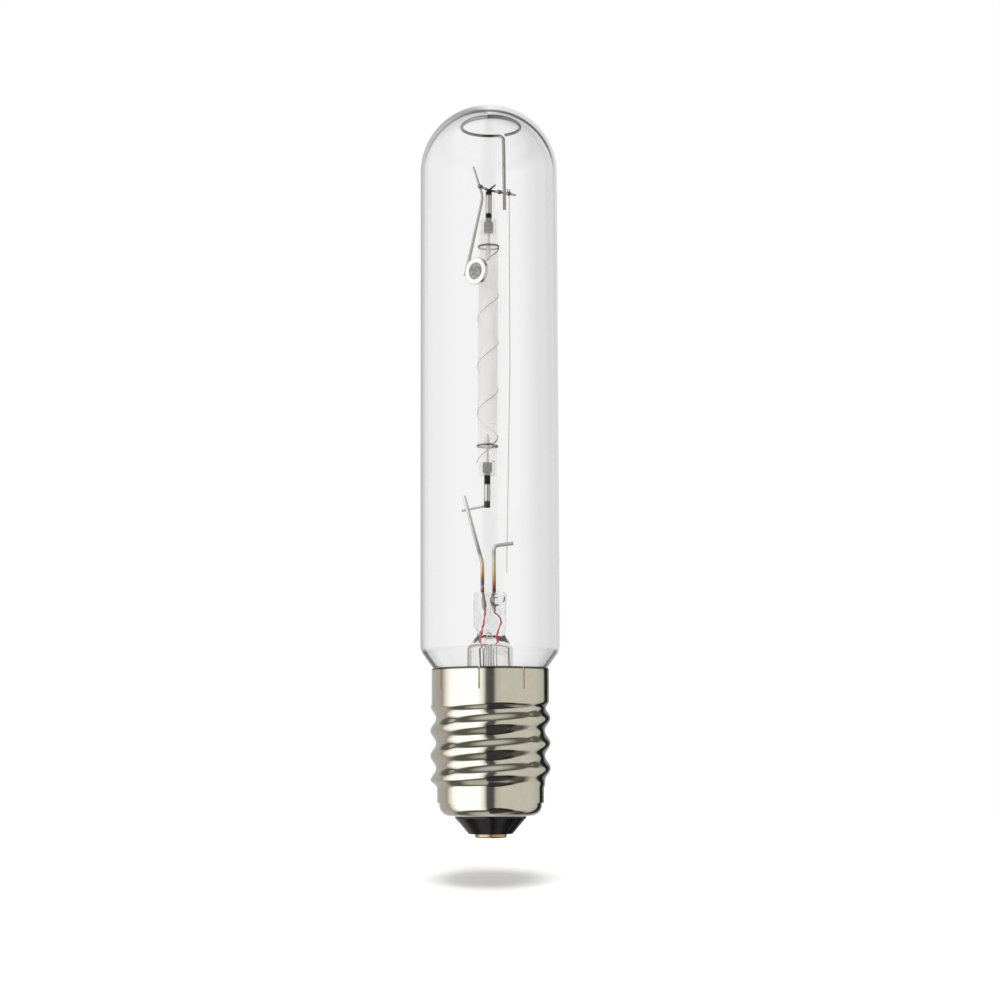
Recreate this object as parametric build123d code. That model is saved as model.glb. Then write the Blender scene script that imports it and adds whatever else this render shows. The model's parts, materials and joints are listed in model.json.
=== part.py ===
from build123d import *
import math
import os

# Clear tubular high-pressure sodium lamp with a large Edison screw cap.
# Millimetres, +Z up. The origin is the middle of the centre contact's flat underside, the lamp's axis is Z,
# and the getter faces -Y.

# Fits
moulded_gap = 0.03  # glass, cement or solder set against metal
plug_gap = 0.05  # pieces slid into the ceramic tube
weld_gap = 0.06  # wires laid side by side and welded

# Screw cap
thread_crest_diameter = 39.4
thread_root_diameter = 35.8
thread_pitch = 8.15
thread_height = 28.6
thread_run_out = 3.0  # height over which the thread fades at each end
thread_turn = 65.0  # direction of the crest at the thread's foot
thread_crease = 0.1  # step where the thread meets the skirt and the band
rings_per_turn = 12
shell_wall = 0.5
skirt_diameter = 38.6
skirt_height = 10.8
band_diameter = 35.0
band_height = 4.5
rim_diameter = 33.6
rim_height = 4.3
rim_bend_radius = 3.6
slit_count = 8
slit_width = 0.5
slit_length = 7.2
slit_turn = -10.5

# Insulator and centre contact
insulator_mouth_diameter = 23.4
insulator_foot_diameter = 14.4
insulator_cone_height = 5.2
insulator_collar_height = 0.6
lead_hole_diameter = 3.0
contact_diameter = 10.4
contact_height = 1.3
contact_edge_radius = 0.6
eyelet_diameter = 5.0
eyelet_height = 3.6
eyelet_bore = 2.4

# Outer bulb
lamp_length = 244.8
bulb_diameter = 46.0
bulb_wall = 1.3
bulb_cone_angle = 36.0  # from the lamp's axis
bulb_shoulder_radius = 5.0
neck_clearance = 1.1  # to the shell's bore behind the thread
neck_bend_radius = 3.0
neck_depth = 19.0  # from the cap's upper edge down to the seal with the stem
cement_thickness = 2.5  # between the neck and the skirt
cement_recess = 0.4

# Stem
stem_diameter = 15.2
stem_wall = 1.3
stem_height = 24.7  # from the seal to the shoulder
stem_shoulder_height = 4.9
stem_bore_point = 3.0  # height of the tapered end of the stem's bore
flare_land = 0.6  # flat ring of the flare inside the neck
press_width = 10.7
press_thickness = 4.6
press_height = 14.5
press_corner_radius = 1.6
press_edge_radius = 0.7
bead_diameter = 5.8  # of the glass gathered round the right lead
bead_x = 2.0
bead_y = -0.9
bead_drop = 2.7  # below the top of the press
exhaust_x = -0.4
exhaust_diameter = 3.7
exhaust_bore = 1.9
exhaust_length = 46.0
exhaust_port_diameter = 1.6
exhaust_port_rise = 3.4  # above the foot of the press

# Lead-in wires
lead_diameter = 1.2
lead_depth = 6.4  # into the press
left_lead_foot_x = -1.7
left_lead_x = -2.5
left_lead_straight = 9.5  # above the press
left_lead_tip_x = -8.6
left_lead_overrun = 4.5  # above the strap
left_lead_bend_radius = 8.0
right_lead_x = 1.35
right_lead_y = -0.3
right_lead_straight = 15.25
right_lead_tip_x = 7.8
right_lead_tip_rise = 0.8
right_lead_bend_radius = 1.6
seal_wire_diameter = 0.6
seal_wire_bend_radius = 2.5
left_seal_foot_x = -3.0
right_seal_bow_x = 4.0
right_seal_bow_drop = 2.4
right_seal_foot_x = 2.2
seal_wire_tail = 1.6  # below the stem's bore end
cap_lead_diameter = 0.5
cap_lead_bend_radius = 2.0
contact_lead_crossing = 4.5  # below the exhaust tube's tip, where it meets the axis
shell_lead_drop = 5.5  # from the seal down to its solder
solder_radius = 1.2

# Arc tube
light_centre_z = 162.4
arc_tube_x = -0.45
arc_tube_lean = 0.47  # degrees from upright, towards +X
arc_tube_diameter = 6.5
arc_tube_wall = 0.6
arc_tube_length = 86.8
frit_depth = 0.5
plug_length = 4.2
plug_lip = 0.6
niobium_diameter = 2.05
niobium_wall = 0.25
niobium_collar_diameter = 3.1
niobium_collar_length = 3.3
niobium_top_length = 9.7
niobium_bottom_length = 10.6
electrode_diameter = 0.9
electrode_tip_depth = 14.0
coil_diameter = 1.5
coil_length = 4.0
coil_setback = 1.0
amalgam_radius = 0.45

# Starting wire
starter_diameter = 0.3
starter_inset = 9.65  # of each close winding from the arc tube's end
starter_turns = 4.17  # between the close windings
starter_close_turns = 2  # in each close winding
starter_tail_turns = 0.3  # below the lower close winding
starter_angle = 303.0  # at the foot of the lower close winding
starter_runs = 12  # straight runs in each turn

# Wire mount
strap_diameter = 0.8
strap_overhang = 2.1
strap_set = 0.8  # above the niobium tube's end
strap_fall = 1.3  # from the niobium tube to the left lead
cross_diameter = 0.8
cross_left_length = 8.0
cross_left_angle = 241.0
cross_right_length = 11.1
cross_right_angle = 35.5
cross_bend_radius = 3.0
cross_tail_diameter = 0.6
cross_tail_reach = 2.3
cross_tail_rise = 1.9
return_diameter = 0.3
return_foot_x = 5.7
return_reach = 8.95  # along the cross wire
return_overhang = 9.5  # below the right lead's arm
return_straight = 60.0  # below the hook
return_bend_radius = 12.0
hook_turn = 250.0
ring_wire_diameter = 1.1
ring_radius = 9.95
ring_x = 0.75
ring_y = -3.0
ring_clearance = 0.8  # to the inside of the dome
ring_stem_angle = 79.0
ring_opening = 19.0
ring_bend_radius = 2.0
ring_stem_lead = 2.45
ring_stem_reach = 5.7  # along the cross wire
ring_stem_overhang = 6.3

# Getter
getter_wire_top_diameter = 0.66
getter_wire_foot_diameter = 1.2
getter_wire_reach = 4.5  # along the cross wire
getter_wire_top_x = -2.2  # from the weld
getter_wire_top_rise = 7.2
getter_knee_drop = 3.1
getter_knee_radius = 8.0
getter_wire_foot_x = -4.8
getter_wire_foot_y = -3.4
getter_wire_drop = 30.7
getter_weld_gap = 0.12
getter_diameter = 9.0
getter_thickness = 1.3
getter_turn = 41.0
getter_rise = 0.7  # of the pan's middle above the wire's foot
getter_well_diameter = 5.4
getter_floor = 0.3
getter_edge_radius = 0.25
getter_fill_depth = 0.8

# Levels
insulator_foot_z = contact_height
shell_bottom_z = insulator_foot_z + insulator_cone_height + insulator_collar_height
band_bottom_z = shell_bottom_z + rim_height
thread_bottom_z = band_bottom_z + band_height
thread_top_z = thread_bottom_z + thread_height
shell_top_z = thread_top_z + skirt_height
seal_z = shell_top_z - neck_depth
dome_z = lamp_length - bulb_diameter / 2
stem_shoulder_z = seal_z + stem_height
press_foot_z = stem_shoulder_z + stem_shoulder_height
press_top_z = press_foot_z + press_height
stem_bore_end_z = stem_shoulder_z + stem_bore_point
exhaust_tip_z = press_foot_z - exhaust_length
lead_foot_z = press_top_z - lead_depth
seal_wire_foot_z = stem_bore_end_z - seal_wire_tail
right_lead_bend_z = press_top_z + right_lead_straight

# Radii used by several pieces
skirt_bore = skirt_diameter / 2 - shell_wall
thread_bore = min(thread_root_diameter, skirt_diameter) / 2 - shell_wall
neck_diameter = 2 * min(thread_bore - neck_clearance, skirt_bore - cement_thickness)
arc_bore = arc_tube_diameter / 2 - arc_tube_wall
strap_y = niobium_diameter / 2 + weld_gap + strap_diameter / 2
left_lead_y = strap_y - strap_diameter / 2 - weld_gap - lead_diameter / 2

UPWARD = (Align.CENTER, Align.CENTER, Align.MIN)
ARC_FRAME = Pos(arc_tube_x, 0, light_centre_z) * Rot(0, arc_tube_lean, 0)


def rod(radius, bottom, top):
    """Upright cylinder on the lamp's axis between two heights."""
    return Pos(0, 0, bottom) * Cylinder(radius, top - bottom, align=UPWARD)


def turned(*edges):
    """Solid of revolution of a closed outline, drawn as radius and height."""
    return revolve(Plane.XZ * make_face(edges), Axis.Z)


def wire(path, diameter):
    """Round wire along a path."""
    return sweep((path ^ 0) * Circle(diameter / 2), path)


def along(angle, length):
    """Plan offset of a length at an angle from +X."""
    return Vector(length, 0, 0).rotate(Axis.Z, angle)


def rim_form(inset, top):
    """Inside or outside of the shell's rounded lower rim, filled."""
    corner = rim_diameter / 2 - rim_bend_radius
    floor = shell_bottom_z + inset
    bend_top = shell_bottom_z + rim_bend_radius
    side = rim_diameter / 2 - inset
    return turned(
        Line((0, floor), (corner, floor)),
        CenterArc((corner, bend_top), rim_bend_radius - inset, -90, 90),
        Line((side, bend_top), (side, top)),
        Line((side, top), (0, top)),
        Line((0, top), (0, floor)),
    )


def fade(height):
    """Share of the full thread at a height above either end: 0 at the end, 1 past the run-out."""
    share = min(max(height / thread_run_out, 0), 1)
    return share * share * (3 - 2 * share)


def thread_form():
    """Round thread: a circle whose middle swings once round the axis in each pitch."""
    mean = (thread_crest_diameter + thread_root_diameter) / 4
    depth = (thread_crest_diameter - thread_root_diameter) / 4
    foot = band_diameter / 2 + thread_crease
    head = skirt_diameter / 2 - thread_crease
    count = round(thread_height / thread_pitch * rings_per_turn)
    rings = []
    for step in range(count + 1):
        height = thread_height * step / count
        low = fade(height)
        high = fade(thread_height - height)
        radius = foot + (mean - foot) * low + (head - mean) * (1 - high)
        centre = along(thread_turn + 360 * height / thread_pitch, depth * low * high)
        rings.append(Pos(centre.X, centre.Y, thread_bottom_z + height) * Circle(radius))
    return loft(rings)


def thread_bore_form():
    """Plain bore behind the thread, widening from the band's bore over the run-out."""
    foot = band_diameter / 2 - shell_wall
    return turned(
        Polyline(
            (0, thread_bottom_z),
            (foot, thread_bottom_z),
            (thread_bore, thread_bottom_z + thread_run_out),
            (thread_bore, thread_top_z),
            (0, thread_top_z),
            close=True,
        )
    )


def screw_shell():
    """Plated shell: skirt with slits, round thread, band and turned-in rim."""
    shell = thread_form()
    shell += rod(skirt_diameter / 2, thread_top_z, shell_top_z)
    shell += rod(band_diameter / 2, band_bottom_z, thread_bottom_z)
    shell += rim_form(0, band_bottom_z)
    shell -= rim_form(shell_wall, band_bottom_z + shell_wall)
    shell -= rod(band_diameter / 2 - shell_wall, band_bottom_z + shell_wall, thread_bottom_z)
    shell -= thread_bore_form()
    shell -= rod(skirt_bore, thread_top_z, shell_top_z + shell_wall)
    mouth = insulator_mouth_diameter / 2 + moulded_gap
    shell -= rod(mouth, shell_bottom_z - shell_wall, shell_bottom_z + 2 * shell_wall)
    slit = Pos(0, -skirt_diameter / 2, shell_top_z - slit_length) * Box(
        slit_width, 4 * shell_wall, 2 * slit_length, align=UPWARD
    )
    for turn in range(slit_count):
        shell -= Rot(0, 0, slit_turn + 360 * turn / slit_count) * slit
    return shell


def insulator():
    """Black glass: a short cone outside, moulded into the shell's rim inside."""
    foot = insulator_foot_diameter / 2
    mouth = insulator_mouth_diameter / 2
    collar_z = insulator_foot_z + insulator_cone_height
    waist_z = shell_bottom_z + shell_wall + 2 * moulded_gap
    body = turned(
        Polyline(
            (0, insulator_foot_z),
            (foot, insulator_foot_z),
            (mouth, collar_z),
            (mouth, waist_z),
            (0, waist_z),
            close=True,
        )
    )
    body += rim_form(shell_wall + moulded_gap, band_bottom_z)
    body -= rod(lead_hole_diameter / 2, insulator_foot_z, band_bottom_z)
    socket = eyelet_diameter / 2 + moulded_gap
    body -= rod(socket, insulator_foot_z, contact_height + eyelet_height + moulded_gap)
    return body


def centre_contact():
    """Brass eyelet: a flat disc with a rounded edge and a hollow shank in the insulator."""
    disc = rod(contact_diameter / 2, 0, contact_height)
    disc = fillet(disc.edges().group_by(Axis.Z)[0], contact_edge_radius)
    disc += rod(eyelet_diameter / 2, contact_height, contact_height + eyelet_height)
    return disc - rod(eyelet_bore / 2, 0, contact_height + eyelet_height)


def contact_solder():
    """Solder that fills the eyelet round the end of the contact lead."""
    return rod(eyelet_bore / 2 - moulded_gap, 0, contact_height + eyelet_height) - contact_lead()


def bulb_form(inset, bottom):
    """Filled outside or inside of the bulb: neck, cone, tube and dome."""
    lift = inset * math.tan(math.radians(bulb_cone_angle / 2))
    slope = math.tan(math.radians(bulb_cone_angle))
    bulb = bulb_diameter / 2
    neck = neck_diameter / 2
    shoulder_z = shell_top_z + (bulb - skirt_bore + moulded_gap) / slope
    neck_top_z = shoulder_z - (bulb - neck) / slope
    side = FilletPolyline(
        (neck - inset, bottom),
        (neck - inset, neck_top_z + lift),
        (bulb - inset, shoulder_z + lift),
        (bulb - inset, dome_z),
        radius=[neck_bend_radius + inset, bulb_shoulder_radius - inset],
    )
    return turned(
        side,
        CenterArc((0, dome_z), bulb - inset, 0, 90),
        Line((0, dome_z + bulb - inset), (0, bottom)),
        Line((0, bottom), (neck - inset, bottom)),
    )


def outer_bulb():
    """Clear glass tube with its dome, shoulder and neck, open at the foot of the neck."""
    return bulb_form(0, seal_z) - bulb_form(bulb_wall, seal_z - bulb_wall)


def basing_cement():
    """Ring of cement between the neck and the skirt."""
    ring = rod(skirt_bore - moulded_gap, thread_top_z + moulded_gap, shell_top_z - cement_recess)
    return ring - bulb_form(-moulded_gap, seal_z)


def flare():
    """Stem tube that opens into a flare under the neck's lower edge."""
    tube = stem_diameter / 2
    edge = neck_diameter / 2
    land = edge - bulb_wall - flare_land
    sweep_radius = land - tube
    bend_z = seal_z + sweep_radius
    return turned(
        Line((edge, seal_z), (land, seal_z)),
        CenterArc((land, bend_z), sweep_radius, 180, 90),
        Line((tube, bend_z), (tube, stem_shoulder_z)),
        Line((tube, stem_shoulder_z), (tube - stem_wall, stem_shoulder_z)),
        Line((tube - stem_wall, stem_shoulder_z), (tube - stem_wall, bend_z)),
        CenterArc((land, bend_z), sweep_radius + stem_wall, 180, 90),
        Line((land, seal_z - stem_wall), (edge, seal_z - stem_wall)),
        Line((edge, seal_z - stem_wall), (edge, seal_z)),
    )


def press():
    """Flattened upper end of the stem, drawn from a circle to a slab, with a bead and its bore's tapered end."""
    slab = RectangleRounded(press_width, press_thickness, press_corner_radius)
    shoulder = loft([Pos(0, 0, stem_shoulder_z) * Circle(stem_diameter / 2), Pos(0, 0, press_foot_z) * slab])
    block = Pos(0, 0, press_foot_z) * extrude(slab, press_height)
    block = fillet(block.edges().group_by(Axis.Z)[-1], press_edge_radius)
    bore = Pos(0, 0, stem_shoulder_z) * Cone(
        stem_diameter / 2 - stem_wall, exhaust_diameter / 2, stem_bore_point, align=UPWARD
    )
    bead = Pos(bead_x, bead_y, press_top_z - bead_drop) * Sphere(bead_diameter / 2)
    return shoulder + block + bead - bore


def exhaust_tube():
    """Glass tube inside the stem, closed to a round tip at its lower end."""
    radius = exhaust_diameter / 2
    tube = rod(radius, exhaust_tip_z, press_foot_z) + Pos(0, 0, exhaust_tip_z) * Sphere(radius)
    return Pos(exhaust_x, 0, 0) * tube


def exhaust_passage():
    """Bore of the exhaust tube and the port through which it opens at the front of the press."""
    port_z = press_foot_z + exhaust_port_rise
    port = Rot(90, 0, 0) * Cylinder(exhaust_port_diameter / 2, press_thickness, align=UPWARD)
    return Pos(exhaust_x, 0, 0) * (rod(exhaust_bore / 2, exhaust_tip_z, port_z) + Pos(0, 0, port_z) * port)


def stem():
    """Flare, press and exhaust tube in one piece of glass, fused round the wires."""
    glass = flare() + press() + exhaust_tube() - exhaust_passage()
    for sealed in (arc_tube_lead(), frame_lead(), left_seal_wire(), right_seal_wire()):
        glass -= sealed
    return glass


def arc_tube_lead():
    """Left lead: up from the press, then leaning out to the end of the strap."""
    path = FilletPolyline(
        (left_lead_foot_x, left_lead_y, lead_foot_z),
        (left_lead_x, left_lead_y, press_top_z),
        (left_lead_x, left_lead_y, press_top_z + left_lead_straight),
        (left_lead_tip_x, left_lead_y, strap_weld().Z - strap_fall + left_lead_overrun),
        radius=left_lead_bend_radius,
    )
    return wire(path, lead_diameter)


def frame_lead():
    """Right lead: up from the press, then bent out to the return wire."""
    path = FilletPolyline(
        (right_lead_x, right_lead_y, lead_foot_z),
        (right_lead_x, right_lead_y, right_lead_bend_z),
        (right_lead_tip_x, right_lead_y, right_lead_bend_z + right_lead_tip_rise),
        radius=right_lead_bend_radius,
    )
    return wire(path, lead_diameter)


def left_seal_wire():
    """Seal wire from the left lead's foot to the stem's bore."""
    path = FilletPolyline(
        (left_lead_foot_x, left_lead_y, lead_foot_z),
        (left_lead_foot_x, left_lead_y, lead_foot_z - seal_wire_diameter),
        (left_seal_foot_x, left_lead_y, stem_bore_end_z + seal_wire_tail),
        (left_seal_foot_x, left_lead_y, seal_wire_foot_z),
        radius=seal_wire_bend_radius,
    )
    return wire(path, seal_wire_diameter)


def right_seal_wire():
    """Seal wire from the right lead's foot, bowed outward, to the stem's bore."""
    path = FilletPolyline(
        (right_lead_x, right_lead_y, lead_foot_z),
        (right_lead_x, right_lead_y, lead_foot_z - seal_wire_diameter),
        (right_seal_bow_x, right_lead_y, lead_foot_z - right_seal_bow_drop),
        (right_seal_foot_x, right_lead_y, stem_bore_end_z + seal_wire_tail),
        (right_seal_foot_x, right_lead_y, seal_wire_foot_z),
        radius=[seal_wire_diameter, seal_wire_bend_radius, seal_wire_bend_radius],
    )
    return wire(path, seal_wire_diameter)


def contact_lead():
    """Lead from the left seal wire down through the stem to the solder in the eyelet."""
    middle_z = exhaust_tip_z - contact_lead_crossing
    path = FilletPolyline(
        (left_seal_foot_x, left_lead_y, seal_wire_foot_z),
        (left_seal_foot_x, left_lead_y, middle_z + abs(left_seal_foot_x)),
        (0, 0, middle_z),
        (0, 0, contact_height + eyelet_height / 2),
        radius=cap_lead_bend_radius,
    )
    return wire(path, cap_lead_diameter)


def solder_middle():
    """Where the shell lead meets the inside of the shell."""
    return Vector(thread_bore, right_lead_y, seal_z - shell_lead_drop)


def shell_lead():
    """Lead from the right seal wire down through the flare and out to the shell."""
    end = solder_middle()
    path = FilletPolyline(
        (right_seal_foot_x, right_lead_y, seal_wire_foot_z),
        (right_seal_foot_x, right_lead_y, end.Z),
        (end.X - solder_radius / 2, right_lead_y, end.Z),
        radius=cap_lead_bend_radius,
    )
    return wire(path, cap_lead_diameter)


def shell_solder():
    """Drop of solder that holds the shell lead to the shell's bore."""
    drop = Pos(solder_middle()) * Sphere(solder_radius)
    return (drop & rod(thread_bore - moulded_gap, thread_bottom_z, thread_top_z)) - shell_lead()


def arc_point(height):
    """Point on the arc tube's axis, at a height above its middle."""
    return (ARC_FRAME * Pos(0, 0, height)).position


def at_top(piece):
    """Place a piece of the arc tube's end, drawn with the end at zero and outward up, at the upper end."""
    return ARC_FRAME * Pos(0, 0, arc_tube_length / 2) * piece


def at_bottom(piece):
    """The same at the lower end."""
    return ARC_FRAME * Pos(0, 0, -arc_tube_length / 2) * Rot(180, 0, 0) * piece


def arc_tube():
    """Translucent ceramic tube."""
    half = arc_tube_length / 2
    return ARC_FRAME * (rod(arc_tube_diameter / 2, -half, half) - rod(arc_bore, -half, half))


def collar_levels():
    """Inner and outer end of the niobium collar below the arc tube's end."""
    outer = -frit_depth - plug_lip
    return outer - niobium_collar_length, outer


def end_plug():
    """Ceramic plug, bored for the niobium tube and its collar."""
    collar_inner, collar_outer = collar_levels()
    plug = rod(arc_bore - plug_gap, -frit_depth - plug_length, -frit_depth)
    plug -= rod(niobium_diameter / 2 + plug_gap, collar_outer, -frit_depth)
    recess = rod(niobium_collar_diameter / 2 + plug_gap, -frit_depth - plug_length, collar_outer + plug_gap)
    return plug - recess


def seal_frit():
    """Ring of sealing glass between the tube's end, the plug and the niobium tube."""
    return rod(arc_bore - plug_gap, -frit_depth, 0) - rod(niobium_diameter / 2 + plug_gap, -frit_depth, 0)


def niobium_tube(length):
    """Feed-through: a tube with a thicker collar inside the plug."""
    collar_inner, collar_outer = collar_levels()
    tube = rod(niobium_diameter / 2, collar_outer, length)
    tube += rod(niobium_collar_diameter / 2, collar_inner, collar_outer)
    return tube - rod(niobium_diameter / 2 - niobium_wall, collar_outer, length)


def electrode():
    """Tungsten rod on the niobium collar."""
    collar_inner, collar_outer = collar_levels()
    return rod(electrode_diameter / 2, -electrode_tip_depth, collar_inner)


def electrode_coil():
    """Close winding round the rod near its tip, taken as a sleeve."""
    bottom = -electrode_tip_depth + coil_setback
    sleeve = rod(coil_diameter / 2, bottom, bottom + coil_length)
    return sleeve - rod(electrode_diameter / 2 + plug_gap, bottom, bottom + coil_length)


def sodium_amalgam():
    """Bead of amalgam on the inner face of a plug."""
    middle = (niobium_collar_diameter / 2 + arc_bore) / 2
    bead = Sphere(amalgam_radius) & rod(amalgam_radius, -amalgam_radius, 0)
    return Pos(middle, 0, -frit_depth - plug_length) * bead


def starter_wire():
    """Spiral round the arc tube between two close windings, with a tail, bent in short straight runs."""
    step = 360 / starter_runs
    radius = (arc_tube_diameter / 2 + plug_gap + starter_diameter / 2) / math.cos(math.radians(step / 2))
    half_span = arc_tube_length / 2 - starter_inset
    close_runs = starter_close_turns * starter_runs
    close_rise = starter_close_turns * (starter_diameter + plug_gap)
    spiral_runs = round(starter_turns * starter_runs)
    spiral_step = (2 * half_span - close_rise) / spiral_runs
    close_step = close_rise / close_runs
    tail_runs = round(starter_tail_turns * starter_runs)
    rises = [spiral_step] * tail_runs + [close_step] * close_runs
    rises += [spiral_step] * spiral_runs + [close_step] * close_runs
    height = -half_span - tail_runs * spiral_step
    turn = starter_angle - tail_runs * step
    points = [along(turn, radius) + Vector(0, 0, height)]
    for rise in rises:
        height += rise
        turn += step
        points.append(along(turn, radius) + Vector(0, 0, height))
    path = Polyline(points)
    section = (path ^ 0) * Circle(starter_diameter / 2)
    return ARC_FRAME * sweep(section, path, transition=Transition.RIGHT)


def strap_weld():
    """Where the strap's level meets the lower niobium tube's axis."""
    return arc_point(strap_set - niobium_bottom_length - arc_tube_length / 2)


def bottom_cross_strap():
    """Straight wire behind the lower niobium tube and the left lead, welded to both."""
    inner = strap_weld()
    lead_top = inner.Z - strap_fall + left_lead_overrun
    share = left_lead_overrun / (lead_top - press_top_z - left_lead_straight)
    crossing = Vector(left_lead_tip_x + share * (left_lead_x - left_lead_tip_x), 0, inner.Z - strap_fall)
    outer = crossing + (crossing - inner).normalized() * strap_overhang
    return wire(Pos(0, strap_y, 0) * Line(outer, inner), strap_diameter)


def cross_point(angle, length):
    """Point on one arm of the top cross wire, which lies on the upper niobium tube's end."""
    middle = arc_tube_length / 2 + niobium_top_length + weld_gap + cross_diameter / 2
    return arc_point(middle) + along(angle, length)


def top_cross_wire():
    """Bent wire across the top of the upper niobium tube, with a short tail at the weld."""
    path = FilletPolyline(
        cross_point(cross_left_angle, cross_left_length),
        cross_point(0, 0),
        cross_point(cross_right_angle, cross_right_length),
        radius=cross_bend_radius,
    )
    weld = cross_point(0, 0)
    tail = Line(weld, weld + Vector(cross_tail_reach, 0, cross_tail_rise))
    return wire(path, cross_diameter) + wire(tail, cross_tail_diameter)


def return_wire():
    """Thin wire from the right lead's arm up to the top cross wire, hooked over it."""
    middle = cross_point(cross_right_angle, return_reach)
    hook_radius = cross_diameter / 2 + weld_gap + return_diameter / 2
    outward = along(cross_right_angle + 90, 1)
    hook_start = middle + outward * hook_radius
    share = (return_foot_x - right_lead_x) / (right_lead_tip_x - right_lead_x)
    arm_z = right_lead_bend_z + share * right_lead_tip_rise
    arm_y = right_lead_y + lead_diameter / 2 + weld_gap + return_diameter / 2
    weld = Vector(return_foot_x, arm_y, arm_z)
    knee = hook_start - Vector(0, 0, return_straight)
    foot = weld + (weld - knee) * (return_overhang / (knee.Z - weld.Z))
    rise = FilletPolyline(foot, knee, hook_start, radius=return_bend_radius)
    hook = Plane(middle, x_dir=outward, z_dir=outward.cross(Vector(0, 0, 1))) * CenterArc(
        (0, 0), hook_radius, 0, hook_turn
    )
    return wire(Wire(rise.edges() + hook.edges()), return_diameter)


def dome_ring():
    """Open ring inside the dome, with a stem down to the top cross wire."""
    wire_radius = ring_wire_diameter / 2
    reach = ring_radius + math.hypot(ring_x, ring_y)
    room = bulb_diameter / 2 - bulb_wall - wire_radius - ring_clearance
    ring_z = dome_z + math.sqrt(room**2 - reach**2)
    middle = Vector(ring_x, ring_y, ring_z)
    end = middle + along(ring_stem_angle, ring_radius)
    corner = end + along(ring_stem_angle - 90, ring_stem_lead)
    side = cross_diameter / 2 + weld_gap + wire_radius
    weld = cross_point(cross_right_angle, ring_stem_reach) + along(cross_right_angle - 90, side)
    foot = weld + (weld - corner) * (ring_stem_overhang / (corner.Z - weld.Z))
    stem_path = FilletPolyline(end, corner, foot, radius=ring_bend_radius)
    arc = Pos(middle) * CenterArc((0, 0), ring_radius, ring_stem_angle, 360 - ring_opening)
    return wire(Wire(arc.edges() + stem_path.edges()), ring_wire_diameter)


def getter_wire_points():
    """Top, knee and foot of the getter's wire, which is welded behind the left arm of the cross wire."""
    side = cross_diameter / 2 + getter_weld_gap + getter_wire_top_diameter / 2
    weld = cross_point(cross_left_angle, getter_wire_reach) + along(cross_left_angle - 90, side)
    rise = Vector(getter_wire_top_x, 0, getter_wire_top_rise)
    knee = weld - rise * (getter_knee_drop / getter_wire_top_rise)
    foot = weld + Vector(getter_wire_foot_x, getter_wire_foot_y, -getter_wire_drop)
    return weld + rise, knee, foot


def getter_wire():
    """Bent wire that hangs from the cross wire and thickens towards the pan."""
    path = FilletPolyline(*getter_wire_points(), radius=getter_knee_radius)
    sections = [
        (path ^ 0) * Circle(getter_wire_top_diameter / 2),
        (path ^ 1) * Circle(getter_wire_foot_diameter / 2),
    ]
    return sweep(sections, path, multisection=True)


def getter_frame():
    """Middle of the getter's pan, facing out of its open side."""
    top, knee, foot = getter_wire_points()
    beside = foot + (knee - foot).normalized() * getter_rise
    reach = getter_diameter / 2 + weld_gap + getter_wire_foot_diameter / 2
    right = along(-getter_turn, 1)
    return Plane(beside + right * reach, x_dir=right, z_dir=along(-90 - getter_turn, 1))


def getter_pan():
    """Thick ring with a closed floor and rounded edges round a middle well."""
    pan = rod(getter_diameter / 2, 0, getter_thickness)
    pan -= rod(getter_well_diameter / 2, getter_floor, getter_thickness)
    rims = pan.edges().group_by(Axis.Z)[-1]
    return getter_frame() * fillet(rims, getter_edge_radius)


def getter_fill():
    """Getter pressed into the pan's well."""
    return getter_frame() * rod(
        getter_well_diameter / 2 - moulded_gap, getter_floor, getter_floor + getter_fill_depth
    )


NODES = {
    "screw_shell": screw_shell(),
    "insulator": insulator(),
    "centre_contact": centre_contact(),
    "contact_solder": contact_solder(),
    "basing_cement": basing_cement(),
    "outer_bulb": outer_bulb(),
    "stem": stem(),
    "arc_tube_lead": arc_tube_lead(),
    "frame_lead": frame_lead(),
    "left_seal_wire": left_seal_wire(),
    "right_seal_wire": right_seal_wire(),
    "contact_lead": contact_lead(),
    "shell_lead": shell_lead(),
    "shell_solder": shell_solder(),
    "arc_tube": arc_tube(),
    "top_end_plug": at_top(end_plug()),
    "bottom_end_plug": at_bottom(end_plug()),
    "top_seal_frit": at_top(seal_frit()),
    "bottom_seal_frit": at_bottom(seal_frit()),
    "top_niobium_tube": at_top(niobium_tube(niobium_top_length)),
    "bottom_niobium_tube": at_bottom(niobium_tube(niobium_bottom_length)),
    "top_electrode": at_top(electrode()),
    "bottom_electrode": at_bottom(electrode()),
    "top_electrode_coil": at_top(electrode_coil()),
    "bottom_electrode_coil": at_bottom(electrode_coil()),
    "sodium_amalgam": at_bottom(sodium_amalgam()),
    "starter_wire": starter_wire(),
    "bottom_cross_strap": bottom_cross_strap(),
    "top_cross_wire": top_cross_wire(),
    "return_wire": return_wire(),
    "dome_ring": dome_ring(),
    "getter_wire": getter_wire(),
    "getter_pan": getter_pan(),
    "getter_fill": getter_fill(),
}

os.makedirs("parts", exist_ok=True)
for name, solid in NODES.items():
    export_step(solid, f"parts/{name}.step")
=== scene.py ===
import json
import math

import bmesh
import bpy
from mathutils import Matrix, Vector, noise as field


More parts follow.
